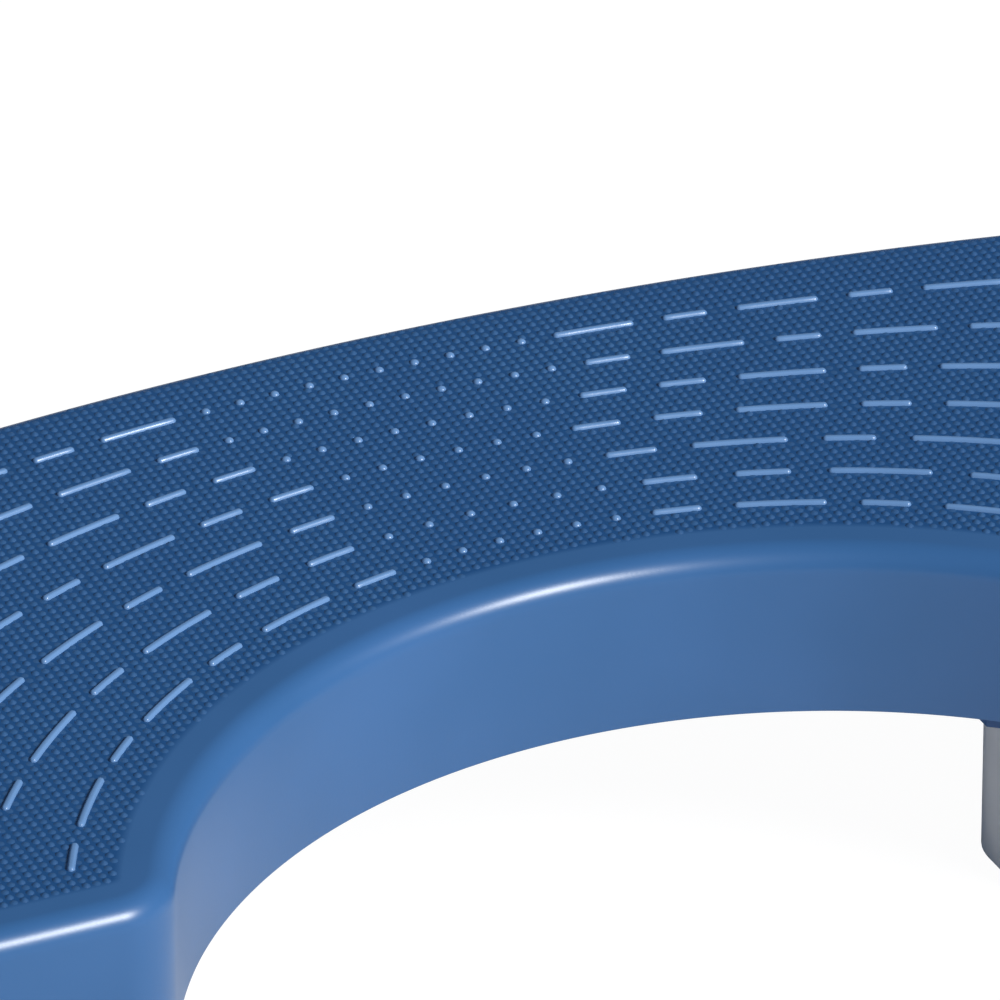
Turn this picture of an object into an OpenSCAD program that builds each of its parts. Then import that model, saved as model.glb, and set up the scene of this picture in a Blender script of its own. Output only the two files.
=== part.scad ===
// Low poolside step platform: a blue slip-resistant deck with a round recess in its front edge,
// closed below by a base with four sockets, on four grey box legs with levelling feet.
// Millimetres, +Z up. The origin is on the floor under the middle of the deck; the recess faces -Y.

/* [Deck] */
// Width over both arms
deck_w = 680; // [640:5:820]
// Depth from the front faces to the top of the rear arc
deck_d = 320; // [300:5:390]
// Height from the floor to the tread
deck_top = 140; // [122:1:160]
// Height of the deck's side wall
skirt_h = 61; // [55:1:75]
// Radius of the rear edge
rear_r = 1175; // [900:5:1500]
// Radius of the two rear outer corners
rear_corner_r = 55; // [40:1:70]
// Radius of the two front outer corners
front_corner_r = 55; // [40:1:70]
// Rounding of the top edge
edge_r = 9; // [5:0.5:11]
// Bevel of the bottom edge
foot_bevel = 1; // [0.5:0.5:2]
// Thickness of the side wall
skirt_t = 4; // [3:0.5:5]
// Thickness of the top
top_t = 5; // [4:0.5:7]

/* [Recess] */
// Radius of the round recess
recess_r = 212.5; // [180:0.5:250]
// How far the recess's centre lies in front of the front faces
recess_setback = 80; // [66:1:96]
// Radius of the corners where the recess meets the front faces
recess_corner_r = 27; // [20:1:32]

/* [Tread marks] */
// Distance from the recess wall to the first row
first_row = 33; // [28:1:40]
// Distance from the rear edge to the last row
last_row = 30; // [24:1:40]
// Number of rows
rows = 7; // [5:1:7]
// Radius of the rearmost row
last_row_r = 800; // [650:10:960]
// Stud spacing along a row
stud_pitch = 13; // [11:0.5:15.5]
// Diameter of a stud at its foot
stud_d = 3.4; // [2.5:0.1:4]
// Length of a long bar
long_bar = 29; // [24:1:35]
// Length of a short bar
short_bar = 16; // [13:1:19]
// Gap between two bars
bar_gap = 10.25; // [8:0.25:12.5]
// Gap between the last stud's centre and the first bar
lead_gap = 11.5; // [9:0.5:14]
// Width of a bar
bar_w = 2.8; // [2:0.1:3.4]
// Height of the marks above the tread
mark_h = 1.3; // [0.8:0.1:1.6]
// Plain border kept free of marks
border = 18.5; // [14:0.5:22]

/* [Base] */
// Gap between the base and the side wall
base_gap = 0.3; // [0.2:0.1:0.6]
// How far the base sits above the side wall's bottom edge
base_rise = 1; // [0.5:0.5:2]
// Thickness of the base
base_t = 5; // [4:0.5:6]
// Width of a socket's block
block_w = 98; // [90:1:112]
// How far a block hangs below the side wall
block_drop = 4.5; // [3:0.5:6]
// Depth of a socket above the side wall's bottom edge
socket_depth = 15; // [12:1:18]
// Thickness of a socket's ceiling
socket_t = 4; // [3:0.5:5]

/* [Legs] */
// Width of a leg
leg_w = 60; // [52:1:70]
// Radius of a leg's upright edges
leg_r = 22; // [18:1:25]
// Wall of a leg
leg_t = 3.5; // [3:0.5:4.5]
// Thickness of a leg's top plate
leg_top_t = 4; // [3:0.5:5]
// Clearance round a leg in its socket
leg_gap = 0.3; // [0.2:0.1:0.6]
// Gap between a leg and the floor
leg_lift = 1; // [0.5:0.5:2]
// Gap between the recess's side wall and a front leg
front_leg_clear = 18.4; // [7:0.1:24]
// Angle of a front leg about the recess's centre, from +Y
front_leg_angle = 43.5; // [40:0.1:48]
// Distance from the side to a rear leg's centre
rear_leg_side = 95; // [85:1:110]
// Distance from the rear edge to a rear leg's centre
rear_leg_back = 69; // [60:1:80]

/* [Leg bolts] */
// Bolt diameter
bolt_d = 6; // [5:1:6]
// Bolt length under its head
bolt_l = 20; // [18:1:22]
// Bolt offset from the leg's centre
bolt_at = 16; // [14:0.5:16.5]
// Outside diameter of a bolt's insert
insert_d = 8; // [7.5:0.1:9]
// Length of an insert
insert_l = 14; // [12:1:15]
// Wall of plastic round an insert
boss_t = 3; // [2:0.5:4]

/* [Levelling feet] */
// Diameter of the threaded stem
stem_d = 10; // [8:1:12]
// Diameter of the rubber pad
pad_d = 40; // [34:1:42]
// Height of the pad
pad_h = 10; // [8:1:11]
// How far a foot screws out
foot_travel = 12; // [8:1:14]
// Depth of the cap that closes a leg
cap_h = 26; // [24:1:32]
// Radial gap between the pad and its pocket
pocket_gap = 1.5; // [1:0.5:2]

/* [Base screws] */
// Screw diameter
screw_d = 4; // [3:0.5:5]
// Screw length under its head
screw_l = 18; // [14:1:22]
// Post diameter
post_d = 11; // [9:0.5:12]
// Distance from a post's centre to the deck's edge
post_in = 13; // [11:0.5:15]

/* [Hidden] */
$fn = 48;
CORNERS = ["front_left", "front_right", "rear_left", "rear_right"];

fit = 0.02;              // radial gap of a pressed or threaded fit
cut = 1;                 // how far a cutting tool runs past the face it opens
run = 0.05;              // radial running gap of the stem in its thread

deck_z = deck_top - skirt_h;
front_y = -deck_d / 2;
rear_c = [0, deck_d / 2 - rear_r];
recess_c = [0, front_y - recess_setback];

// Centres of the corner arcs on the right-hand side; the left-hand ones mirror them.
rear_k = [
    deck_w / 2 - rear_corner_r,
    rear_c.y + sqrt(pow(rear_r - rear_corner_r, 2) - pow(deck_w / 2 - rear_corner_r, 2))
];
front_k = [deck_w / 2 - front_corner_r, front_y + front_corner_r];
recess_k = [
    sqrt(pow(recess_r + recess_corner_r, 2) - pow(recess_setback + recess_corner_r, 2)),
    front_y + recess_corner_r
];
rear_a = atan2(rear_k.y - rear_c.y, rear_k.x);
recess_a = atan2(recess_k.y - recess_c.y, recess_k.x);

function polar(c, r, a) = [c.x + r * cos(a), c.y + r * sin(a)];
function flip(p) = [-p.x, p.y];
function arc(c, r, a0, a1, n, first = 0) =
    [for (i = [first : n]) polar(c, r, a0 + (a1 - a0) * i / n)];

// The deck's outline, moved inwards by d, as two chains with the same number of points: the
// outer one runs from the right front face round the rear, the inner one along the recess.
EDGE_N = 63;
function outer_edge(d) = concat(
    arc(front_k, front_corner_r - d, -90, 0, 10),
    arc(rear_k, rear_corner_r - d, 0, rear_a, 8),
    arc(rear_c, rear_r - d, rear_a, 180 - rear_a, 24, 1),
    arc(flip(rear_k), rear_corner_r - d, 180 - rear_a, 180, 8, 1),
    arc(flip(front_k), front_corner_r - d, 180, 270, 10)
);
function inner_edge(d) = concat(
    arc(flip(recess_k), recess_corner_r - d, -90, -recess_a, 7),
    arc(recess_c, recess_r + d, 180 - recess_a, recess_a, 48, 1),
    arc(recess_k, recess_corner_r - d, 180 + recess_a, 270, 7, 1)
);
function outline(d) = concat(outer_edge(d), inner_edge(d));

// One flat end of a loft: quads across the deck from the outer chain to the inner one.
function cap_faces(base) = [
    for (i = [0 : EDGE_N - 2])
        [for (q = [2 * EDGE_N - 1 - i, 2 * EDGE_N - 2 - i, i + 1, i]) base + q]
];
function reversed(f) = [for (i = [len(f) - 1 : -1 : 0]) f[i]];

// A solid through rings of equal length, each [inset, height], closed at both ends.
module loft(rings) {
    n = 2 * EDGE_N;
    pts = [for (q = rings) for (p = outline(q[0])) [p.x, p.y, q[1]]];
    polyhedron(
        points = pts,
        faces = concat(
            [for (f = cap_faces(0)) reversed(f)],
            [for (j = [0 : len(rings) - 2]) for (i = [0 : n - 1])
                [j * n + i, (j + 1) * n + i, (j + 1) * n + (i + 1) % n, j * n + (i + 1) % n]],
            cap_faces((len(rings) - 1) * n)
        ),
        convexity = 6
    );
}

module deck_plan(d) {
    polygon(outline(d));
}

module rounded_square(w, r) {
    square([w, w - 2 * r], center = true);
    square([w - 2 * r, w], center = true);
    for (x = [-1, 1], y = [-1, 1]) translate([x * (w / 2 - r), y * (w / 2 - r)]) circle(r);
}

module tube(d, bore, h) {
    difference() {
        cylinder(d = d, h = h);
        translate([0, 0, -cut]) cylinder(d = bore, h = h + 2 * cut);
    }
}

// Where things stand ---------------------------------------------------------------------------
rear_leg_x = deck_w / 2 - rear_leg_side;
rear_leg_y = rear_c.y + sqrt(pow(rear_r, 2) - pow(rear_leg_x, 2)) - rear_leg_back;
leg_reach = leg_r + (leg_w / 2 - leg_r) * (sin(front_leg_angle) + cos(front_leg_angle));
front_leg_in = skirt_t + front_leg_clear + leg_reach;
front_leg = polar(recess_c, recess_r + front_leg_in, 90 - front_leg_angle);
LEG_AT = [flip(front_leg), front_leg, [-rear_leg_x, rear_leg_y], [rear_leg_x, rear_leg_y]];

base_z = deck_z + base_rise;
base_top = base_z + base_t;
leg_top_z = deck_z + socket_depth;
socket_top = leg_top_z + socket_t;
bolt_z = leg_top_z - leg_top_t;      // underside of the leg's top plate
washer_t = 1.6;
washer_d = 2 * bolt_d;
bolt_head_d = 1.7 * bolt_d;
bolt_head_h = 4;
hole_slack = 0.6;                    // extra diameter of a through hole
boss_top = leg_top_z + insert_l + 4;

cap_w = leg_w - 2 * leg_t - 2 * fit;
cap_r = leg_r - leg_t - fit;
pocket_top = leg_lift + pad_h + 1;
cap_top = leg_lift + cap_h;
cap_insert_d = stem_d + 4;
flange_d = 26;
flange_h = 3;
flange_z = 3.5;
nut_h = 5;
nut_z = cap_top + foot_travel + 0.5;
stem_top = nut_z + nut_h + 1;

rib_t = 3;
rib_h = 16;
rib_pitch = 62;
rib_x = [for (x = [-rib_pitch * floor(deck_w / 2 / rib_pitch) : rib_pitch : deck_w / 2]) x];
screw_head_d = 2 * screw_d;
screw_head_h = 2.4;
screw_z = base_z + 2.6;              // seat of a base screw's head

POSTS_RIGHT = [
    polar(recess_c, recess_r + post_in, 68),
    polar(rear_c, rear_r - post_in, 83),
    polar(rear_k, rear_corner_r - post_in, 42),
    polar(front_k, front_corner_r - post_in, -45),
    [deck_w / 2 - post_in, (front_k.y + rear_k.y) / 2],
    polar(recess_k, recess_corner_r - post_in, -60)
];
POSTS = concat(
    POSTS_RIGHT,
    [for (p = POSTS_RIGHT) flip(p)],
    [[0, deck_d / 2 - post_in]]
);

// Deck -----------------------------------------------------------------------------------------
module deck_solid() {
    steps = 6;
    loft(concat(
        [[foot_bevel, deck_z], [0, deck_z + foot_bevel]],
        [for (i = [0 : steps])
            let (a = 90 * i / steps)
            [edge_r * (1 - cos(a)), deck_top - edge_r * (1 - sin(a))]]
    ));
}

module deck_ribs() {
    z = deck_top - top_t - rib_h;
    for (x = rib_x)
        translate([x - rib_t / 2, -deck_d, z]) cube([rib_t, 2 * deck_d, rib_h + cut]);
    translate([-deck_w, rear_leg_y - rib_t / 2, z]) cube([2 * deck_w, rib_t, rib_h + cut]);
}

module deck_shell() {
    color("steelblue") difference() {
        deck_solid();
        difference() {
            translate([0, 0, deck_z - cut])
                linear_extrude(skirt_h - top_t + cut) deck_plan(skirt_t);
            deck_ribs();
            for (p = POSTS) translate([p.x, p.y, base_top])
                cylinder(d = post_d, h = deck_top - base_top);
        }
        for (p = POSTS) translate([p.x, p.y, base_top - cut])
            cylinder(d = screw_d + 2 * fit, h = screw_l + cut);
    }
}

// Tread marks: studs in the middle of each row, then bars out to both arms ----------------------
STUDS = [3, 3, 3, 3, 4, 5, 5];                        // studs on each side, front row first
LEADS = [1, 2, 1, 2, 2, 1, 0];                        // short bars before the first long one
STRETCH = [1.065, 1.2, 1.13, 1.08, 1.05, 1.02, 1];    // every length in the row times this
MAX_BARS = 16;

row_pitch = (deck_d + recess_setback - recess_r - first_row - last_row) / (rows - 1);
function row_y(k) = recess_c.y + recess_r + first_row + k * row_pitch;
function row_r(k) =
    let (first = 1 / (recess_r + first_row), t = k / (rows - 1))
    1 / (first + (1 / last_row_r - first) * t);
function row_point(k, s) = polar([0, row_y(k) - row_r(k)], row_r(k), 90 - s / row_r(k) * 180 / PI);
function bar_len(k, i) =
    (i >= LEADS[k] && (i - LEADS[k]) % 2 == 0 ? long_bar : short_bar) * STRETCH[k];
function bar_start(k, i) = i == 0
    ? ((STUDS[k] - 0.5) * stud_pitch + lead_gap) * STRETCH[k]
    : bar_start(k, i - 1) + bar_len(k, i - 1) + bar_gap * STRETCH[k];
function on_tread(p) =
    abs(p.x) < deck_w / 2 - border && p.y > front_y + border && norm(p - rear_c) < rear_r - border;

module place_on_row(k, s) {
    p = row_point(k, s);
    translate([p.x, p.y, deck_top]) rotate(-s / row_r(k) * 180 / PI) children();
}

module bar(l) {
    linear_extrude(mark_h) {
        square([l - bar_w, bar_w], center = true);
        for (x = [-1, 1]) translate([x * (l - bar_w) / 2, 0]) circle(d = bar_w);
    }
}

module tread_marks() {
    color("lightsteelblue") for (k = [0 : rows - 1], side = [-1, 1]) {
        for (i = [0 : STUDS[k] - 1])
            place_on_row(k, side * (i + 0.5) * stud_pitch * STRETCH[k])
                cylinder(d1 = stud_d, d2 = 0.6 * stud_d, h = mark_h);
        for (i = [0 : MAX_BARS - 1]) {
            l = bar_len(k, i);
            s = bar_start(k, i);
            if (s + l < 170 / 180 * PI * row_r(k) / 2 && on_tread(row_point(k, s + l)))
                place_on_row(k, side * (s + l / 2)) bar(l);
        }
    }
}

// Base -----------------------------------------------------------------------------------------
module deck_base() {
    color("royalblue") difference() {
        union() {
            translate([0, 0, base_z]) linear_extrude(base_t) deck_plan(skirt_t + base_gap);
            intersection() {
                translate([0, 0, deck_z - block_drop])
                    linear_extrude(socket_top - deck_z + block_drop) deck_plan(skirt_t + base_gap);
                for (p = LEG_AT) translate([p.x, p.y, deck_z - block_drop])
                    linear_extrude(socket_top - deck_z + block_drop)
                        rounded_square(block_w, leg_r);
            }
            for (p = LEG_AT, x = [-1, 1], y = [-1, 1])
                translate([p.x + x * bolt_at, p.y + y * bolt_at, socket_top - cut])
                    cylinder(d = insert_d + 2 * boss_t, h = boss_top - socket_top + cut);
        }
        for (p = LEG_AT) {
            translate([p.x, p.y, deck_z - block_drop - cut])
                linear_extrude(socket_depth + block_drop + cut)
                    rounded_square(leg_w + 2 * leg_gap, leg_r + leg_gap);
            for (x = [-1, 1], y = [-1, 1])
                translate([p.x + x * bolt_at, p.y + y * bolt_at, leg_top_z - cut])
                    cylinder(d = insert_d + 2 * fit, h = boss_top - leg_top_z - 2 + cut);
        }
        for (p = POSTS) {
            translate([p.x, p.y, base_z - cut])
                cylinder(d = screw_d + hole_slack, h = base_t + 2 * cut);
            translate([p.x, p.y, base_z - cut])
                cylinder(d = screw_head_d + hole_slack, h = screw_z - base_z + cut);
        }
    }
}

module base_screws() {
    color("silver") for (p = POSTS) translate([p.x, p.y, screw_z]) {
        cylinder(d = screw_d, h = screw_l);
        difference() {
            translate([0, 0, -screw_head_h]) cylinder(d = screw_head_d, h = screw_head_h);
            translate([0, 0, -screw_head_h - cut])
                cylinder(d = 0.6 * screw_d, h = screw_head_h / 2 + cut, $fn = 6);
        }
    }
}

// Legs and what bolts them on -------------------------------------------------------------------
module at_leg(i) {
    translate([LEG_AT[i].x, LEG_AT[i].y, 0]) children();
}

module at_bolts(i) {
    at_leg(i) for (x = [-1, 1], y = [-1, 1]) translate([x * bolt_at, y * bolt_at, 0]) children();
}

module leg(i) {
    color("gray") difference() {
        at_leg(i) translate([0, 0, leg_lift])
            linear_extrude(leg_top_z - leg_lift) rounded_square(leg_w, leg_r);
        at_leg(i) translate([0, 0, leg_lift - cut])
            linear_extrude(bolt_z - leg_lift + cut)
                rounded_square(leg_w - 2 * leg_t, leg_r - leg_t);
        at_bolts(i) translate([0, 0, bolt_z - cut])
            cylinder(d = bolt_d + hole_slack, h = leg_top_t + 2 * cut);
    }
}

module leg_bolts(i) {
    color("silver") at_bolts(i) translate([0, 0, bolt_z - washer_t]) {
        cylinder(d = bolt_d, h = bolt_l);
        difference() {
            translate([0, 0, -bolt_head_h]) cylinder(d = bolt_head_d, h = bolt_head_h);
            translate([0, 0, -bolt_head_h - cut])
                cylinder(d = 0.7 * bolt_d, h = bolt_head_h / 2 + cut, $fn = 6);
        }
    }
}

module bolt_washers(i) {
    color("lightgray") at_bolts(i) translate([0, 0, bolt_z - washer_t])
        tube(washer_d, bolt_d + 2 * fit, washer_t);
}

module bolt_inserts(i) {
    color("goldenrod") at_bolts(i) translate([0, 0, leg_top_z])
        tube(insert_d, bolt_d + 2 * fit, insert_l);
}

// Levelling feet ---------------------------------------------------------------------------------
module leg_cap(i) {
    color("dimgray") at_leg(i) difference() {
        translate([0, 0, leg_lift]) linear_extrude(cap_h) rounded_square(cap_w, cap_r);
        translate([0, 0, leg_lift - cut])
            cylinder(d = pad_d + 2 * pocket_gap, h = pocket_top - leg_lift + cut);
        cylinder(d = cap_insert_d + 2 * fit, h = cap_top + cut);
    }
}

module cap_insert(i) {
    color("goldenrod") at_leg(i) translate([0, 0, pocket_top])
        tube(cap_insert_d, stem_d + 2 * run, cap_top - pocket_top);
}

module foot_stem(i) {
    color("silver") at_leg(i) {
        translate([0, 0, flange_z]) cylinder(d = flange_d, h = flange_h);
        translate([0, 0, flange_z]) cylinder(d = stem_d, h = stem_top - flange_z);
    }
}

module stop_nut(i) {
    color("silver") at_leg(i) translate([0, 0, nut_z]) difference() {
        cylinder(d = 1.9 * stem_d, h = nut_h, $fn = 6);
        translate([0, 0, -cut]) cylinder(d = stem_d + 2 * fit, h = nut_h + 2 * cut);
    }
}

// Half section of the pad, with the hollow that the stem's flange is moulded into.
module foot_pad(i) {
    color("black") at_leg(i) rotate_extrude() polygon([
        [0, 0],
        [pad_d / 2 - 2, 0],
        [pad_d / 2, 2],
        [pad_d / 2, pad_h - 3],
        [pad_d / 2 - 3, pad_h],
        [stem_d / 2 + fit, pad_h],
        [stem_d / 2 + fit, flange_z + flange_h + fit],
        [flange_d / 2 + fit, flange_z + flange_h + fit],
        [flange_d / 2 + fit, flange_z - fit],
        [0, flange_z - fit]
    ]);
}

deck_shell();
tread_marks();
deck_base();
base_screws();
for (i = [0 : len(CORNERS) - 1]) {
    leg(i);
    leg_bolts(i);
    bolt_washers(i);
    bolt_inserts(i);
    leg_cap(i);
    cap_insert(i);
    foot_stem(i);
    stop_nut(i);
    foot_pad(i);
}
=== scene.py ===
# %% [markdown]
# # A low poolside step, dressed around its CAD frame
#
# The real object is a thick blue platform, moulded in polyethylene, with a round recess in its
# front edge and a slip-resistant tread, on four grey box legs with levelling feet. The CAD model
# already fixes every size and every moving part. This lesson adds what a mould adds: soft edges, a
# grained tread, rounded grip bars, and a believable finish on each material.

import bpy
import numpy as np
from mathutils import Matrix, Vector


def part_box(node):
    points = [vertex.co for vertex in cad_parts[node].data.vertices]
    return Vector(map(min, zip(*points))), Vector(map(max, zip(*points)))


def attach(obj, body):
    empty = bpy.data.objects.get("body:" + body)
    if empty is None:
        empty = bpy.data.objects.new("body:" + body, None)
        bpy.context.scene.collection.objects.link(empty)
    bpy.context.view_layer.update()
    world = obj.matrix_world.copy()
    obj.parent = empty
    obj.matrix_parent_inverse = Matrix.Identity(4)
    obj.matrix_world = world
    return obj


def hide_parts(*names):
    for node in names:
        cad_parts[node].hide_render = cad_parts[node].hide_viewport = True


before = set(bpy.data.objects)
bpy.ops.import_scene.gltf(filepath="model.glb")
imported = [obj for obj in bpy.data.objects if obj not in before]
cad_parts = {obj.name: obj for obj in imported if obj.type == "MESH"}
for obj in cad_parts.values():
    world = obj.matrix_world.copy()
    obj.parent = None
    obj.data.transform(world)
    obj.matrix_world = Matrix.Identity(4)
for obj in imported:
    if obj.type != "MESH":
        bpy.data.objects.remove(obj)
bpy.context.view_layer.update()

MM = 0.001

# %% [markdown]
# ## The camera
#
# A product shot of a small step is taken from a few metres away with a long lens, which keeps its
# parallel edges parallel. The camera stands to the left of the middle, 29 degrees above the tread,
# and looks at a spot on the tread a little behind the recess.

# %% Place the camera
deck_lo, deck_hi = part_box("deck_shell")
TREAD_Z = deck_hi.z
AIM = Vector((5.15 * MM, 30.75 * MM, TREAD_Z))
SIDEWAYS = np.radians(25.07)
UPWARDS = np.radians(28.92)
DISTANCE = 4.358

camera_data = bpy.data.cameras.new("product_camera")
camera_data.sensor_width = 36
camera_data.lens = 473.4
camera_data.clip_end = 120
camera = bpy.data.objects.new("product_camera", camera_data)
bpy.context.collection.objects.link(camera)
towards_camera = Vector((
    -np.sin(SIDEWAYS) * np.cos(UPWARDS),
    -np.cos(SIDEWAYS) * np.cos(UPWARDS),
    np.sin(UPWARDS),
))
camera.location = AIM + DISTANCE * towards_camera
camera.rotation_mode = "QUATERNION"
camera.rotation_quaternion = (-towards_camera).to_track_quat("-Z", "Y")
bpy.context.scene.camera = camera
print("camera at", [round(c, 3) for c in camera.location], "m")

# %% [markdown]
# ## Building blocks for meshes
#
# Every new surface below is a grid: a closed outline, repeated as rings at other heights and
# insets. Two helpers turn such rings into faces, and one turns arrays into a Blender mesh. With
# whole arrays there is no loop over vertices, and the same helpers serve the deck and the legs.


# %% Faces from rings, and a mesh from arrays
def ring_faces(rings, around):
    """Quads between neighbouring rings: point i of ring j has the number j * around + i."""
    i = np.arange(around)
    j = np.arange(rings - 1)[:, None] * around
    a, b = j + i, j + (i + 1) % around
    return np.stack([a, b, b + around, a + around], axis=-1).reshape(-1, 4)


def make_piece(name, points, faces, material, body, sharp=35):
    """A mesh object from points and lists of faces, smooth but for edges over `sharp` degrees."""
    mesh = bpy.data.meshes.new(name)
    mesh.from_pydata(points.tolist(), [], [f for block in faces for f in block.tolist()])
    mesh.shade_smooth()
    mesh.set_sharp_from_angle(angle=np.radians(sharp))
    mesh.materials.append(material)
    piece = bpy.data.objects.new(name, mesh)
    bpy.context.collection.objects.link(piece)
    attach(piece, body)
    triangles = sum(len(p.vertices) - 2 for p in mesh.polygons)
    print(f"{name}: {len(points)} points, {triangles} triangles")
    return piece


# %% [markdown]
# ## Building blocks for materials
#
# Colours are written as the hex values that a screen shows and turned to linear light in one
# place. One small function adds any node: its keyword arguments are the node's own settings, and
# its `inputs` are values or links, by socket name.


# %% Colour and node helpers
def linear(hex_colour):
    """sRGB hex to linear: c / 12.92 below 0.04045, else ((c + 0.055) / 1.055) to the power 2.4."""
    c = np.array([int(hex_colour[k : k + 2], 16) for k in (1, 3, 5)]) / 255
    rgb = np.where(c <= 0.04045, c / 12.92, ((c + 0.055) / 1.055) ** 2.4)
    return (*rgb.tolist(), 1.0)


def add_node(tree, kind, inputs=None, **settings):
    """Adds one node of that kind with its settings; an input given as a socket is linked."""
    made = tree.nodes.new(kind)
    for key, value in settings.items():
        setattr(made, key, value)
    for key, value in (inputs or {}).items():
        if isinstance(value, bpy.types.NodeSocket):
            tree.links.new(value, made.inputs[key])
        else:
            made.inputs[key].default_value = value
    return made


def new_material(name):
    """An empty material and its node tree, with the output node in place."""
    material = bpy.data.materials.new(name)
    material.use_nodes = True
    material.node_tree.nodes.clear()
    output = add_node(material.node_tree, "ShaderNodeOutputMaterial")
    return material, material.node_tree, output


# %% [markdown]
# ## Polyethylene, moulded, blue
#
# Pool steps are moulded in polyethylene coloured right through. Straight from the mould its skin
# is satin: a broad sheen at grazing angles, and under a raking light a very fine orange peel. The
# index of refraction is 1.51. The colour drifts a little over a hand's width, because pigment never
# spreads quite evenly.


# %% The blue polyethylene
HAND_WIDTH = 90 * MM


def moulded_polyethylene(name, pale, deep, roughness, peel_mm=1.1, peel_height_mm=0.012):
    """Blue plastic: two close shades mixed by slow noise, and an orange-peel bump at peel_mm."""
    material, tree, output = new_material(name)
    where = add_node(tree, "ShaderNodeTexCoord").outputs["Object"]
    drift = add_node(
        tree, "ShaderNodeTexNoise", {"Vector": where, "Scale": 1 / HAND_WIDTH, "Detail": 2.0}
    )
    shades = add_node(tree, "ShaderNodeValToRGB", {"Fac": drift.outputs["Fac"]})
    shades.color_ramp.elements[0].position = 0.35
    shades.color_ramp.elements[0].color = linear(deep)
    shades.color_ramp.elements[1].position = 0.65
    shades.color_ramp.elements[1].color = linear(pale)
    peel = add_node(
        tree, "ShaderNodeTexNoise", {"Vector": where, "Scale": 1 / (peel_mm * MM), "Detail": 1.0}
    )
    skin = add_node(
        tree,
        "ShaderNodeBump",
        {"Height": peel.outputs["Fac"], "Distance": peel_height_mm * MM, "Strength": 1.0},
    )
    shader = add_node(
        tree,
        "ShaderNodeBsdfPrincipled",
        {
            "Base Color": shades.outputs["Color"],
            "Roughness": roughness,
            "IOR": 1.51,
            "Normal": skin.outputs["Normal"],
        },
    )
    tree.links.new(shader.outputs["BSDF"], output.inputs["Surface"])
    return material


def paint_shade_between_grain(material, shade_colour, centre_y, radius, front_y, low_z, soft=1.5 * MM):
    """Paints shade on the tread between the grain bumps: outside a circle round (0, centre_y),
    behind front_y, above low_z.
    """
    tree = material.node_tree
    shader = tree.nodes["Principled BSDF"]
    own_colour = shader.inputs["Base Color"].links[0].from_socket
    where = add_node(tree, "ShaderNodeTexCoord").outputs["Object"]
    flat = add_node(tree, "ShaderNodeVectorMath", {0: where, 1: (1, 1, 0)}, operation="MULTIPLY")
    away = add_node(
        tree,
        "ShaderNodeVectorMath",
        {0: flat.outputs[0], 1: (0, centre_y, 0)},
        operation="DISTANCE",
    )
    axes = add_node(tree, "ShaderNodeSeparateXYZ", {"Vector": where})
    mask = None
    for value, edge in (
        (away.outputs["Value"], radius),
        (axes.outputs["Y"], front_y),
        (axes.outputs["Z"], low_z),
    ):
        step = add_node(
            tree,
            "ShaderNodeMapRange",
            {"Value": value, "From Min": edge - soft, "From Max": edge + soft},
        ).outputs["Result"]
        mask = step if mask is None else add_node(
            tree, "ShaderNodeMath", {0: mask, 1: step}, operation="MULTIPLY"
        ).outputs[0]
    tint = add_node(
        tree, "ShaderNodeMixRGB", {"Fac": mask, "Color1": own_colour, "Color2": linear(shade_colour)}
    )
    tree.links.new(tint.outputs["Color"], shader.inputs["Base Color"])


DECK_SKIN = moulded_polyethylene("blue_polyethylene_satin_skin", "#396598", "#346091", 0.325)
# The grain bumps are a darker, greyer blue than the smooth skin: partly the duller grained finish,
# partly painted shade of the grain and painted sheen on the bumps.
GRAIN_SKIN = moulded_polyethylene("blue_polyethylene_grained_painted_shade_and_sheen", "#325B88", "#2E5684", 0.46)
# The marks are a paler, greyer blue than the deck: painted sheen in place of their highlights, on
# top of the lower roughness of a worn, polished surface.
MARK_SKIN = moulded_polyethylene("blue_polyethylene_polished_marks_painted_sheen", "#6A90BE", "#668CBA", 0.27)
BASE_SKIN = moulded_polyethylene("blue_polyethylene_base", "#2F5A8E", "#2B5588", 0.45)
print("blue finishes ready")

# %% [markdown]
# ## Grey leg plastic, cap plastic and rubber
#
# The legs are extruded in a grey ABS blend and cut to length, so they have a faint satin and very
# fine lines along the extrusion. The caps are a dark moulded polypropylene, and the pads are matt
# rubber with a dusty bloom.


# %% Leg, cap and pad materials
def fine_grained_plastic(name, colour, roughness, grain_mm, height_mm, stretch=(1, 1, 1), ior=1.53):
    """One plain colour with a fine noise bump; stretch lengthens the grain along an axis."""
    material, tree, output = new_material(name)
    where = add_node(tree, "ShaderNodeTexCoord").outputs["Object"]
    mapped = add_node(tree, "ShaderNodeMapping", {"Vector": where, "Scale": stretch})
    grain = add_node(
        tree,
        "ShaderNodeTexNoise",
        {"Vector": mapped.outputs["Vector"], "Scale": 1 / (grain_mm * MM), "Detail": 2.0},
    )
    relief = add_node(
        tree,
        "ShaderNodeBump",
        {"Height": grain.outputs["Fac"], "Distance": height_mm * MM, "Strength": 1.0},
    )
    shader = add_node(
        tree,
        "ShaderNodeBsdfPrincipled",
        {
            "Base Color": linear(colour),
            "Roughness": roughness,
            "IOR": ior,
            "Normal": relief.outputs["Normal"],
        },
    )
    tree.links.new(shader.outputs["BSDF"], output.inputs["Surface"])
    return material


# The leg colour is near white: partly the plastic's own light grey, partly painted light in place
# of the light from the left that the set lacks.
LEG_GREY = fine_grained_plastic("abs_extruded_light_grey_and_painted_fill", "#ECE9E6", 0.38, 0.9, 0.01, (1, 1, 0.04))
CAP_DARK = fine_grained_plastic("polypropylene_moulded_dark", "#3B3C40", 0.5, 0.8, 0.02)
PAD_RUBBER = fine_grained_plastic("rubber_matt_black", "#202124", 0.78, 0.5, 0.03, ior=1.52)
print("grey, dark and rubber finishes ready")

# %% [markdown]
# ## Metals
#
# Bolts, stems and nuts are turned stainless steel, with tool marks that run round each part. The
# threaded inserts are brass. Both are metals, so their colour is their reflection.


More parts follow.
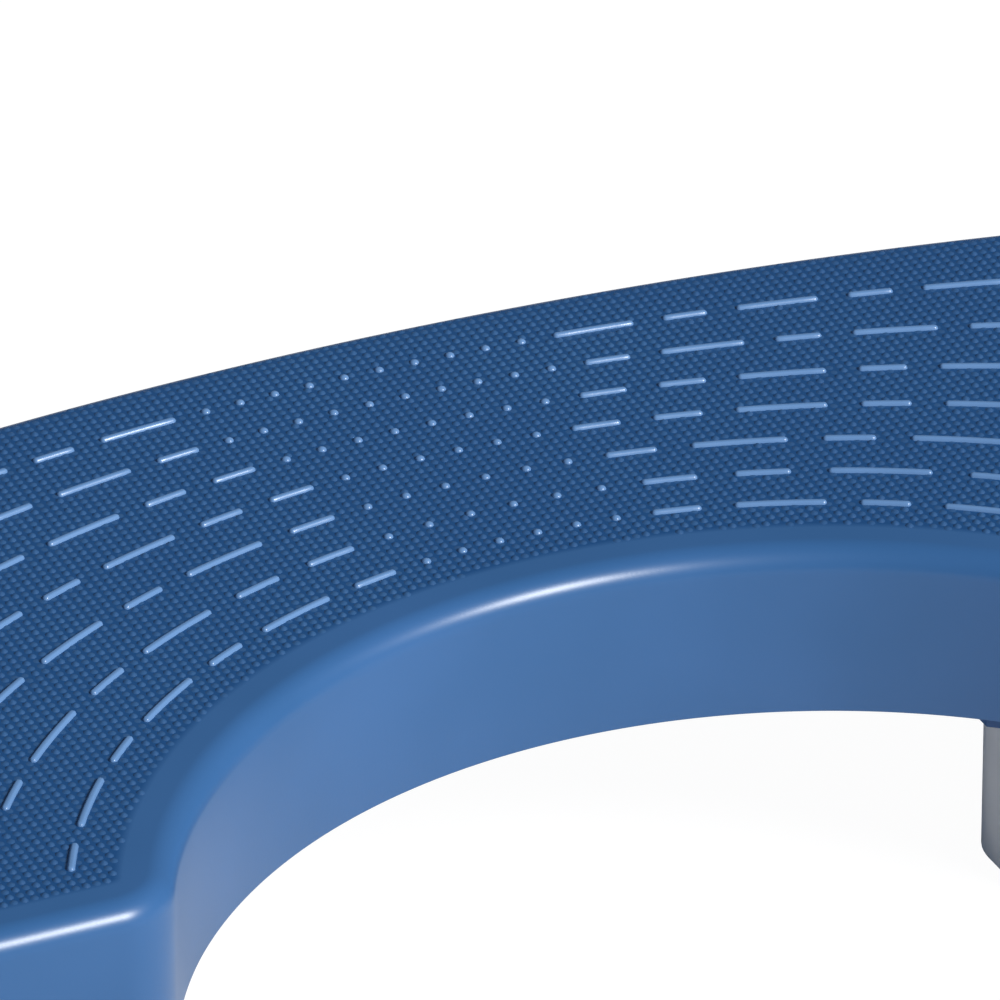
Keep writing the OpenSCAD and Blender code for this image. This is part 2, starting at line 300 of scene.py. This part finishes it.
# %% Stainless steel and brass
def turned_metal(name, colour, roughness, line_mm=0.35):
    """A metal whose roughness varies in fine level bands, as a lathe leaves it."""
    material, tree, output = new_material(name)
    where = add_node(tree, "ShaderNodeTexCoord").outputs["Object"]
    mapped = add_node(tree, "ShaderNodeMapping", {"Vector": where, "Scale": (0.05, 0.05, 1)})
    lines = add_node(
        tree,
        "ShaderNodeTexNoise",
        {"Vector": mapped.outputs["Vector"], "Scale": 1 / (line_mm * MM), "Detail": 2.0},
    )
    spread = add_node(
        tree,
        "ShaderNodeMapRange",
        {"Value": lines.outputs["Fac"], "To Min": 0.7 * roughness, "To Max": 1.4 * roughness},
    )
    shader = add_node(
        tree,
        "ShaderNodeBsdfPrincipled",
        {"Base Color": linear(colour), "Metallic": 1.0, "Roughness": spread.outputs["Result"]},
    )
    tree.links.new(shader.outputs["BSDF"], output.inputs["Surface"])
    return material


STAINLESS = turned_metal("stainless_steel_turned", "#C4C2BE", 0.3)
BRASS = turned_metal("brass_turned", "#C9A25A", 0.32)
CORNERS = ("front_left", "front_right", "rear_left", "rear_right")
FINISH_OF = {"leg_cap": CAP_DARK, "bolt_inserts": BRASS, "cap_insert": BRASS}
FINISH_OF.update(dict.fromkeys(("leg_bolts", "bolt_washers", "foot_stem", "stop_nut"), STAINLESS))
for part, finish in FINISH_OF.items():
    for corner in CORNERS:
        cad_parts[f"{part}_{corner}"].data.materials[0] = finish
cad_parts["base_screws"].data.materials[0] = STAINLESS
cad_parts["deck_base"].data.materials[0] = BASE_SKIN
print("metal, cap and base finishes put on", 4 * len(FINISH_OF) + 2, "CAD nodes")

# %% [markdown]
# ## The deck's outline
#
# Seen from above, the deck is bounded by eight arcs: the recess, its two corners, four outer
# corners and the long rear edge. Moving the outline inwards keeps every arc's centre and only
# changes its radius, so one function gives the wall, the rounded top edge and the hollow inside.

# %% Arc centres and the outline function
HALF_W, FRONT_Y, REAR_Y, SKIRT_Z = deck_hi.x, deck_lo.y, deck_hi.y, deck_lo.z
REAR_R = 1175 * MM
CORNER_R = 55 * MM
RECESS_R = 212.5 * MM
RECESS_CORNER_R = 27 * MM
REAR_C = np.array([0, REAR_Y - REAR_R])
RECESS_C = np.array([0, FRONT_Y - 80 * MM])
EDGE_R = 9 * MM
WALL, ROOF, BEVEL, INNER_BEVEL = 4 * MM, 5 * MM, 1 * MM, 0.4 * MM
FRONT_STEPS, REAR_STEPS, EDGE_STEPS, RECESS_CORNER_STEPS = 24, 20, 120, 18
outer_count = 2 * (FRONT_STEPS + 1) + (2 * REAR_STEPS + 1) + EDGE_STEPS
RECESS_STEPS = outer_count - (2 * RECESS_CORNER_STEPS + 1)

rear_kx = HALF_W - CORNER_R
REAR_K = np.array([rear_kx, REAR_C[1] + np.sqrt((REAR_R - CORNER_R) ** 2 - rear_kx**2)])
FRONT_K = np.array([HALF_W - CORNER_R, FRONT_Y + CORNER_R])
recess_ky = FRONT_Y + RECESS_CORNER_R
RECESS_K = np.array(
    [np.sqrt((RECESS_R + RECESS_CORNER_R) ** 2 - (recess_ky - RECESS_C[1]) ** 2), recess_ky]
)
REAR_A = np.degrees(np.arctan2(*(REAR_K - REAR_C)[::-1]))
RECESS_A = np.degrees(np.arctan2(*(RECESS_K - RECESS_C)[::-1]))
MIRROR = np.array([-1, 1])


def arc(centre, radius, start, end, steps, first=0):
    """Points on a circular arc, angles in degrees, without the ones before `first`."""
    a = np.radians(start + (end - start) * np.arange(first, steps + 1) / steps)
    return centre + radius * np.stack([np.cos(a), np.sin(a)], axis=-1)


def outline(inset):
    """The deck's outline moved inwards: an outer chain, then an inner one with as many points."""
    corner = CORNER_R - inset
    outer = [
        arc(FRONT_K, corner, -90, 0, FRONT_STEPS),
        arc(REAR_K, corner, 0, REAR_A, REAR_STEPS),
        arc(REAR_C, REAR_R - inset, REAR_A, 180 - REAR_A, EDGE_STEPS, 1),
        arc(REAR_K * MIRROR, corner, 180 - REAR_A, 180, REAR_STEPS, 1),
        arc(FRONT_K * MIRROR, corner, 180, 270, FRONT_STEPS),
    ]
    inner = [
        arc(RECESS_K * MIRROR, RECESS_CORNER_R - inset, -90, -RECESS_A, RECESS_CORNER_STEPS),
        arc(RECESS_C, RECESS_R + inset, 180 - RECESS_A, RECESS_A, RECESS_STEPS, 1),
        arc(RECESS_K, RECESS_CORNER_R - inset, 180 + RECESS_A, 270, RECESS_CORNER_STEPS, 1),
    ]
    return np.concatenate(outer + inner)


AROUND = len(outline(0))
print("outline of", AROUND, "points; recess", round(2 * RECESS_K[0] / MM), "mm wide at the front")

# %% [markdown]
# ## The deck shell
#
# The shell is one closed surface. Its rings start at the ceiling of the hollow, run down the
# inside of the wall, round the foot, up the outside, and over the rounded top edge. Both flat
# ends are closed with quads that cross from the outer chain to the inner one.


# %% Build the deck shell
def deck_profile():
    """The wall's section as rows of (inset, height), from the hollow's ceiling to the tread."""
    turn = np.radians(np.linspace(0, 90, 13))
    ceiling = [(WALL, TREAD_Z - ROOF)]
    inside = [(WALL, SKIRT_Z + INNER_BEVEL), (WALL - INNER_BEVEL, SKIRT_Z)]
    foot = [(BEVEL, SKIRT_Z), (0.3 * BEVEL, SKIRT_Z + 0.3 * BEVEL), (0, SKIRT_Z + BEVEL)]
    over = np.stack([EDGE_R * (1 - np.cos(turn)), TREAD_Z - EDGE_R * (1 - np.sin(turn))], axis=-1)
    return np.concatenate([ceiling, inside, foot, over])


def across(ring_start):
    """Quads over one flat end, from outer point i to the inner point opposite it."""
    i = np.arange(AROUND // 2 - 1)
    return ring_start + np.stack([i, i + 1, AROUND - 2 - i, AROUND - 1 - i], axis=-1)


SMOOTH_RECESS, SMOOTH_FRONT, FIELD_DEPTH = 18 * MM, 17 * MM, 4 * MM
# The tread under the grain is tinted a darker blue: partly the duller grained finish, partly
# painted shade between the bumps.
paint_shade_between_grain(
    DECK_SKIN,
    "#194A7D",
    RECESS_C[1],
    RECESS_R + SMOOTH_RECESS,
    FRONT_Y + SMOOTH_FRONT,
    TREAD_Z - FIELD_DEPTH,
)
profile = deck_profile()
shell_points = np.concatenate(
    [np.column_stack([outline(d), np.full(AROUND, z)]) for d, z in profile]
)
shell_faces = [
    ring_faces(len(profile), AROUND),
    across(0)[:, ::-1],
    across((len(profile) - 1) * AROUND),
]
deck = make_piece(
    "deck_shell_moulded", shell_points, shell_faces, DECK_SKIN, "platform"
)
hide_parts("deck_shell")

# %% [markdown]
# ## Where the grip marks lie
#
# Seven rows of marks follow the deck. The front row is concentric with the recess and the rear
# row is nearly straight: from row to row the curvature changes by the same step. Each row has
# round studs in the middle and then bars, long and short by turns, out to both arms.

# %% Work out the rows
ROWS = 7
ROW_PITCH = 20.75 * MM
FIRST_ROW = 33 * MM
LAST_ROW_R = 800 * MM
STUD_PITCH, LONG_BAR, SHORT_BAR = 13 * MM, 29 * MM, 16 * MM
BAR_GAP, LEAD_GAP = 10.25 * MM, 11.5 * MM
BAR_W, STUD_R, MARK_H = 2.8 * MM, 1.7 * MM, 1.3 * MM
BORDER = 18.5 * MM
STUDS = (3, 3, 3, 3, 4, 5, 5)
LEADS = (1, 2, 1, 2, 2, 1, 0)
STRETCH = (1.065, 1.2, 1.13, 1.08, 1.05, 1.02, 1.0)
MAX_BARS = 16

first_curve, last_curve = 1 / (RECESS_R + FIRST_ROW), 1 / LAST_ROW_R
ROW_R = 1 / np.linspace(first_curve, last_curve, ROWS)
ROW_TOP = RECESS_C[1] + RECESS_R + FIRST_ROW + ROW_PITCH * np.arange(ROWS)


def on_row(k, along, aside=0.0):
    """Points at a distance `along` row k from its middle and `aside` outwards from it."""
    angle = along / ROW_R[k]
    radius = ROW_R[k] + aside
    centre_y = ROW_TOP[k] - ROW_R[k]
    return np.stack([radius * np.sin(angle), centre_y + radius * np.cos(angle)], axis=-1)


def row_marks(k):
    """Stud positions and bar (start, end) pairs along one half of row k."""
    studs = (np.arange(STUDS[k]) + 0.5) * STUD_PITCH * STRETCH[k]
    turns = np.arange(MAX_BARS) - LEADS[k]
    lengths = np.where((turns >= 0) & (turns % 2 == 0), LONG_BAR, SHORT_BAR) * STRETCH[k]
    steps = lengths + BAR_GAP * STRETCH[k]
    starts = studs[-1] + LEAD_GAP * STRETCH[k] + np.concatenate([[0], np.cumsum(steps)[:-1]])
    ends = starts + lengths
    tip = on_row(k, ends)
    fits = (np.abs(tip[:, 0]) < HALF_W - BORDER) & (tip[:, 1] > FRONT_Y + BORDER)
    fits &= np.hypot(*(tip - REAR_C).T) < REAR_R - BORDER
    fits &= ends < np.radians(85) * ROW_R[k]
    return studs, np.stack([starts, ends], axis=-1)[fits]


marks = [row_marks(k) for k in range(ROWS)]
stud_total, bar_total = (2 * sum(len(row[kind]) for row in marks) for kind in (0, 1))
print("marks:", stud_total, "studs,", bar_total, "bars")

# %% [markdown]
# ## Bars and studs
#
# A bar is a trapezoid with a rounded top, carried along its row's arc. Its flank that faces the
# light turns into a bright line. Both ends shrink on a quarter circle. A stud is a small dome.
# Each is closed below and sunk a tenth of a millimetre into the tread, as if both came out of one
# mould.

# %% Build the grip marks
SUNK = 0.1 * MM
FULL_RINGS = 5
STUD_AROUND = 12
STUD_RISE = np.radians(np.array([0, 22, 45, 68, 86]))
end_turn = np.radians(np.linspace(84, 0, 6))
half_section = np.array([(1, 0), (0.95, 0.22), (0.79, 0.52), (0.62, 0.82), (0.42, 0.96), (0.15, 1)])
section = np.concatenate([half_section, half_section[::-1] * (-1, 1)])


def bar_points(k, start, end):
    """A bar's grid: rounded trapezoids along the arc, shrunk on a quarter circle at both ends."""
    half = (end - start) / 2 - BAR_W / 2
    tip = half + BAR_W / 2 * np.sin(end_turn)
    along = np.concatenate([-tip, np.linspace(-half, half, FULL_RINGS + 2)[1:-1], tip[::-1]])
    size = np.concatenate([np.cos(end_turn), np.ones(FULL_RINGS), np.cos(end_turn[::-1])])
    middle = (start + end) / 2
    aside = BAR_W / 2 * size[:, None] * section[:, 0]
    height = MARK_H * size[:, None] * section[:, 1]
    plan = on_row(k, (middle + along)[:, None] + 0 * aside, aside)
    return np.concatenate([plan, (TREAD_Z - SUNK + height)[..., None]], axis=-1).reshape(-1, 3)


BAR_RINGS = 2 * len(end_turn) + FULL_RINGS
BAR_AROUND = len(section)
bar_faces = ring_faces(BAR_RINGS, BAR_AROUND)
bar_ends = [np.arange(BAR_AROUND)[::-1], (BAR_RINGS - 1) * BAR_AROUND + np.arange(BAR_AROUND)]


def stud_points(k, along):
    """A stud's grid: rings of a dome of radius STUD_R and height MARK_H, at its place on row k."""
    rise = STUD_RISE[:, None]
    turn = np.radians(np.arange(STUD_AROUND) * 360 / STUD_AROUND)
    spot = on_row(k, along)
    x = spot[0] + STUD_R * np.cos(rise) * np.cos(turn)
    y = spot[1] + STUD_R * np.cos(rise) * np.sin(turn)
    z = TREAD_Z - SUNK + MARK_H * np.sin(rise) + 0 * turn
    return np.stack([x, y, z], axis=-1).reshape(-1, 3)


stud_faces = ring_faces(len(STUD_RISE), STUD_AROUND)
stud_ends = [
    np.arange(STUD_AROUND)[::-1],
    (len(STUD_RISE) - 1) * STUD_AROUND + np.arange(STUD_AROUND),
]

mark_points, mark_faces, count = [], [], 0
for k, (studs, bars) in enumerate(marks):
    for side in (-1, 1):
        for along in studs:
            mark_points.append(stud_points(k, side * along))
            mark_faces += [stud_faces + count, *[end[None] + count for end in stud_ends]]
            count += len(mark_points[-1])
        for start, end in bars:
            low, high = sorted((side * start, side * end))
            mark_points.append(bar_points(k, low, high))
            mark_faces += [bar_faces + count, *[end_face[None] + count for end_face in bar_ends]]
            count += len(mark_points[-1])
grip_marks = make_piece(
    "grip_bars_and_studs",
    np.concatenate(mark_points),
    mark_faces,
    MARK_SKIN,
    "platform",
    sharp=60,
)
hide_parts("tread_marks")

# %% [markdown]
# ## The tread's grain
#
# Between the marks the whole tread carries a fine grain of low oval bumps. Tall bumps stand on a
# 5 mm square grid turned by 45 degrees, and a lower bump fills the middle of each square, as the
# threads of a plain weave rise by turns. A smooth border is left along the recess and the front
# faces, where a hand rests. At the sides and the rear the grain runs on to the rounded edge, bends
# down with it and fades out. Beside a mark the bumps are lower, so that the mark keeps its clean
# outline. Each bump is real geometry, so that it catches the light from every side, but it has
# only a few faces.

# %% Place the grain
GRAIN_PITCH = 5 * MM
GRAIN_X, GRAIN_Y = 1.5 * MM, 1.75 * MM
TALL, LOW = 0.85 * MM, 0.5 * MM
GRAIN_BORDER = 18.5 * MM
GRAIN_EDGE = 7 * MM
MARK_REACH = 2.8 * MM
BESIDE_MARK = 0.3
EDGE_FADE, AT_EDGE = 16 * MM, 0.3


def depth_inside(p):
    """How far points lie inside the sides and the rear: radius minus distance near each arc."""
    x, y = np.abs(p[..., 0]), p[..., 1]
    depth = np.minimum(HALF_W - x, REAR_R - np.hypot(x, y - REAR_C[1]))
    for centre, low, high in ((REAR_K, 0, REAR_A), (FRONT_K, -90, 0)):
        angle = np.degrees(np.arctan2(y - centre[1], x - centre[0]))
        in_corner = (angle > low) & (angle < high)
        depth = np.where(in_corner, CORNER_R - np.hypot(x - centre[0], y - centre[1]), depth)
    return depth


def edge_drop(p):
    """How far the rounded edge lies below the tread: R minus the root of R squared - t squared."""
    t = np.clip(EDGE_R - depth_inside(p), 0, 0.9 * EDGE_R)
    return EDGE_R - np.sqrt(EDGE_R**2 - t**2)


def grain_spots(shift):
    """Points of the turned grid, moved sideways by `shift`, that lie in the tread's field."""
    reach = int(1.5 * HALF_W / GRAIN_PITCH) + 2
    u, v = np.meshgrid(np.arange(-reach, reach + 1), np.arange(-reach, reach + 1))
    spots = np.stack([u - v, u + v], axis=-1).reshape(-1, 2) * GRAIN_PITCH / np.sqrt(2)
    spots[:, 0] += shift
    keep = depth_inside(spots) > GRAIN_EDGE
    keep &= spots[:, 1] > FRONT_Y + GRAIN_BORDER
    keep &= np.hypot(*(spots - RECESS_C).T) > RECESS_R + GRAIN_BORDER
    return spots[keep]


def beside_marks(spots):
    """True for points nearer than MARK_REACH to a bar's middle line or a stud's centre."""
    near = np.zeros(len(spots), bool)
    for k, (studs, bars) in enumerate(marks):
        from_centre = spots - np.array([0, ROW_TOP[k] - ROW_R[k]])
        off_row = np.abs(np.hypot(*from_centre.T) - ROW_R[k])
        along = np.abs(np.arctan2(from_centre[:, 0], from_centre[:, 1])) * ROW_R[k]
        for start, end in bars:
            beyond = np.maximum(0, np.maximum(start - along, along - end))
            near |= np.hypot(off_row, beyond) < MARK_REACH
        for stud in studs:
            near |= np.hypot(off_row, along - stud) < MARK_REACH
    return near


# %% Build the grain
BUMP_AROUND = 8
SHOULDER_IN, SHOULDER_UP = 0.5, 0.75
compass = np.radians(np.arange(BUMP_AROUND) * 360 / BUMP_AROUND)
rim_xy = np.stack([GRAIN_X * np.cos(compass), GRAIN_Y * np.sin(compass)], axis=-1)
bump_xy = np.concatenate([rim_xy, SHOULDER_IN * rim_xy, [[0, 0]]])
bump_rise = np.concatenate([np.zeros(BUMP_AROUND), np.full(BUMP_AROUND, SHOULDER_UP), [1]])
rim = np.arange(BUMP_AROUND)
shoulder = BUMP_AROUND + rim
next_shoulder = BUMP_AROUND + (rim + 1) % BUMP_AROUND
peak = np.full(BUMP_AROUND, 2 * BUMP_AROUND)
cap = np.stack([shoulder, next_shoulder, peak], axis=-1)
for name, height, shift in (("tall", TALL, 0), ("low", LOW, GRAIN_PITCH / np.sqrt(2))):
    spots = grain_spots(shift)
    rise = height * np.where(beside_marks(spots), BESIDE_MARK, 1)
    rise *= np.clip(depth_inside(spots) / EDGE_FADE, AT_EDGE, 1)
    grain_xy = spots[:, None, :] + bump_xy
    grain_z = TREAD_Z - SUNK / 2 + rise[:, None] * bump_rise - edge_drop(grain_xy)
    grain_points = np.concatenate([grain_xy, grain_z[..., None]], axis=-1).reshape(-1, 3)
    offsets = np.arange(len(spots))[:, None, None] * len(bump_xy)
    grain_faces = [
        (ring_faces(2, BUMP_AROUND) + offsets).reshape(-1, 4),
        (cap + offsets).reshape(-1, 3),
        (rim[::-1][None] + offsets).reshape(-1, BUMP_AROUND),
    ]
    make_piece(
        f"tread_grain_{name}",
        grain_points,
        grain_faces,
        GRAIN_SKIN,
        "platform",
        sharp=80,
    )
    print(len(spots), name, "bumps")

# %% [markdown]
# ## Legs
#
# Each leg is a rounded-square tube. The CAD tube has sharp ends. Here its foot is rounded inside
# and out, as a cut and broken edge is. The outline is a square with quarter circles at its
# corners, and an inset shrinks the square and the corners together.

# %% Build the legs
LEG_W, LEG_R, LEG_T, LEG_PLATE = 60 * MM, 22 * MM, 3.5 * MM, 4 * MM
LIP = 1.2 * MM


def leg_outline(inset):
    """A square of side LEG_W with corners of radius LEG_R, moved inwards by inset."""
    at, radius = LEG_W / 2 - LEG_R, LEG_R - inset
    corners = [(at, -at, -90), (at, at, 0), (-at, at, 90), (-at, -at, 180)]
    return np.concatenate([arc(np.array([x, y]), radius, a, a + 90, 14) for x, y, a in corners])


LEG_AROUND = len(leg_outline(0))
TOP_BEVEL = 0.5 * MM
lip_turn = np.radians(np.linspace(0, 90, 6))
for corner in CORNERS:
    lo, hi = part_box(f"leg_{corner}")
    middle = np.array([(lo.x + hi.x) / 2, (lo.y + hi.y) / 2])
    inner_lip = np.stack(
        [LEG_T - LIP + LIP * np.cos(lip_turn), lo.z + LIP - LIP * np.sin(lip_turn)], axis=-1
    )
    outer_lip = np.stack(
        [LIP * (1 - np.sin(lip_turn)), lo.z + LIP * (1 - np.cos(lip_turn))], axis=-1
    )
    leg_ceiling = [(LEG_T, hi.z - LEG_PLATE)]
    leg_top = [(0, hi.z - TOP_BEVEL), (TOP_BEVEL, hi.z)]
    leg_profile = np.concatenate([leg_ceiling, inner_lip, outer_lip, leg_top])
    leg_points = np.concatenate(
        [np.column_stack([leg_outline(d) + middle, np.full(LEG_AROUND, z)]) for d, z in leg_profile]
    )
    last = (len(leg_profile) - 1) * LEG_AROUND
    leg_faces = [
        ring_faces(len(leg_profile), LEG_AROUND),
        np.arange(LEG_AROUND)[::-1][None],
        last + np.arange(LEG_AROUND)[None],
    ]
    leg = make_piece(f"leg_tube_{corner}", leg_points, leg_faces, LEG_GREY, "platform")
    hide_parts(f"leg_{corner}")

# %% [markdown]
# ## Rubber pads
#
# The pads are turned shapes, so a profile spun round the stem's axis makes each one. Five grooves
# are moulded into the underside for grip, and the top slopes to the stem.

# %% Build the pads
PAD_STEPS = 64
STEM_SEAT_R = 5.2 * MM


def pad_profile(radius, top, hub):
    """(radius, height) pairs from the middle of the underside, over its grooves, to the stem."""
    edges = np.linspace(5.5 * MM, radius - 3 * MM, 11)
    groove = np.array([[r, 1.1 * MM if n % 2 else 0.0] for n, r in enumerate(edges[:-1])])
    under = np.repeat(groove, 2, axis=0)
    under[1::2, 0] = edges[1:]
    side = [[radius - 1.5 * MM, 0], [radius - 0.4 * MM, 0.5 * MM], [radius, 1.8 * MM]]
    over = [
        [radius, top - 3 * MM],
        [radius - 0.6 * MM, top - 2 * MM],
        [radius - 2.6 * MM, top - 0.4 * MM],
    ]
    return np.concatenate([[[1 * MM, 0]], under, side, over, [[radius - 4 * MM, top], [hub, top]]])


spin = np.radians(np.arange(PAD_STEPS) * 360 / PAD_STEPS)
for corner in CORNERS:
    lo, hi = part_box(f"foot_pad_{corner}")
    middle = np.array([(lo.x + hi.x) / 2, (lo.y + hi.y) / 2])
    rings = pad_profile((hi.x - lo.x) / 2, hi.z - lo.z, STEM_SEAT_R)
    circle = np.stack([np.cos(spin), np.sin(spin)], axis=-1)
    pad_points = np.concatenate(
        [np.column_stack([middle + r * circle, np.full(PAD_STEPS, lo.z + z)]) for r, z in rings]
    )
    last = (len(rings) - 1) * PAD_STEPS
    pad_faces = [
        ring_faces(len(rings), PAD_STEPS),
        np.arange(PAD_STEPS)[::-1][None],
        last + np.arange(PAD_STEPS)[None],
    ]
    pad = make_piece(
        f"pad_moulded_{corner}",
        pad_points,
        pad_faces,
        PAD_RUBBER,
        f"foot_{corner}",
    )
    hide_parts(f"foot_pad_{corner}")

# %% [markdown]
# ## Floor and light
#
# The set is a white sweep, as in a catalogue picture. Two floors lie in one place: a pure white
# one that only the camera sees, and a pale grey one that takes the shadows and bounces soft light
# up on to the plastic. The key softbox stands to the front right, so that the rounded edge of the
# recess catches a clean highlight, and a dim, even surround fills the shadows.

# %% Build the studio
FLOOR_HALF = 40
SURROUND_TINT = (0.62, 0.86, 1.15, 1)
SURROUND_STRENGTH = 0.16


def floor_sheet(name, z, colour, glow):
    """A large square on the stage, with a little of its own light when `glow` is above zero."""
    mesh = bpy.data.meshes.new(name)
    corners = [(x * FLOOR_HALF, y * FLOOR_HALF, z) for x, y in ((-1, -1), (1, -1), (1, 1), (-1, 1))]
    mesh.from_pydata(corners, [], [(0, 1, 2, 3)])
    sheet = bpy.data.objects.new(name, mesh)
    bpy.context.collection.objects.link(sheet)
    paint, tree, output = new_material(name + "_paint")
    shader = add_node(
        tree,
        "ShaderNodeBsdfPrincipled",
        {
            "Base Color": linear(colour),
            "Roughness": 0.9,
            "Specular IOR Level": 0.0,
            "Emission Color": (1, 1, 1, 1),
            "Emission Strength": glow,
        },
    )
    tree.links.new(shader.outputs["BSDF"], output.inputs["Surface"])
    mesh.materials.append(paint)
    return sheet


backdrop = floor_sheet("floor_white", -0.5 * MM, "#505050", 0.97)
backdrop.visible_diffuse = False
backdrop.visible_glossy = False
backdrop.visible_shadow = False
bounce = floor_sheet("floor_bounce", -0.8 * MM, "#E4E4E4", 0.0)
bounce.visible_camera = False


def softbox(name, side, up, watts, width):
    """A distant soft light, `side` degrees right of the front, `up` above it and `width` across."""
    side, up = np.radians(side), np.radians(up)
    data = bpy.data.lights.new(name, "SUN")
    data.energy = watts
    data.angle = np.radians(width)
    lamp = bpy.data.objects.new(name, data)
    bpy.context.collection.objects.link(lamp)
    shines_from = Vector((np.sin(side) * np.cos(up), -np.cos(side) * np.cos(up), np.sin(up)))
    lamp.rotation_mode = "QUATERNION"
    lamp.rotation_quaternion = (-shines_from).to_track_quat("-Z", "Y")
    print(f"{name}: {watts} W/m2, {width} degrees wide")


softbox("key_softbox", side=29, up=36, watts=3.9, width=18)

world = bpy.data.worlds.new("studio_surround")
bpy.context.scene.world = world
world.use_nodes = True
surround = world.node_tree.nodes["Background"].inputs
surround["Color"].default_value = SURROUND_TINT
surround["Strength"].default_value = SURROUND_STRENGTH
bpy.context.scene.view_settings.view_transform = "Standard"
print("studio ready")
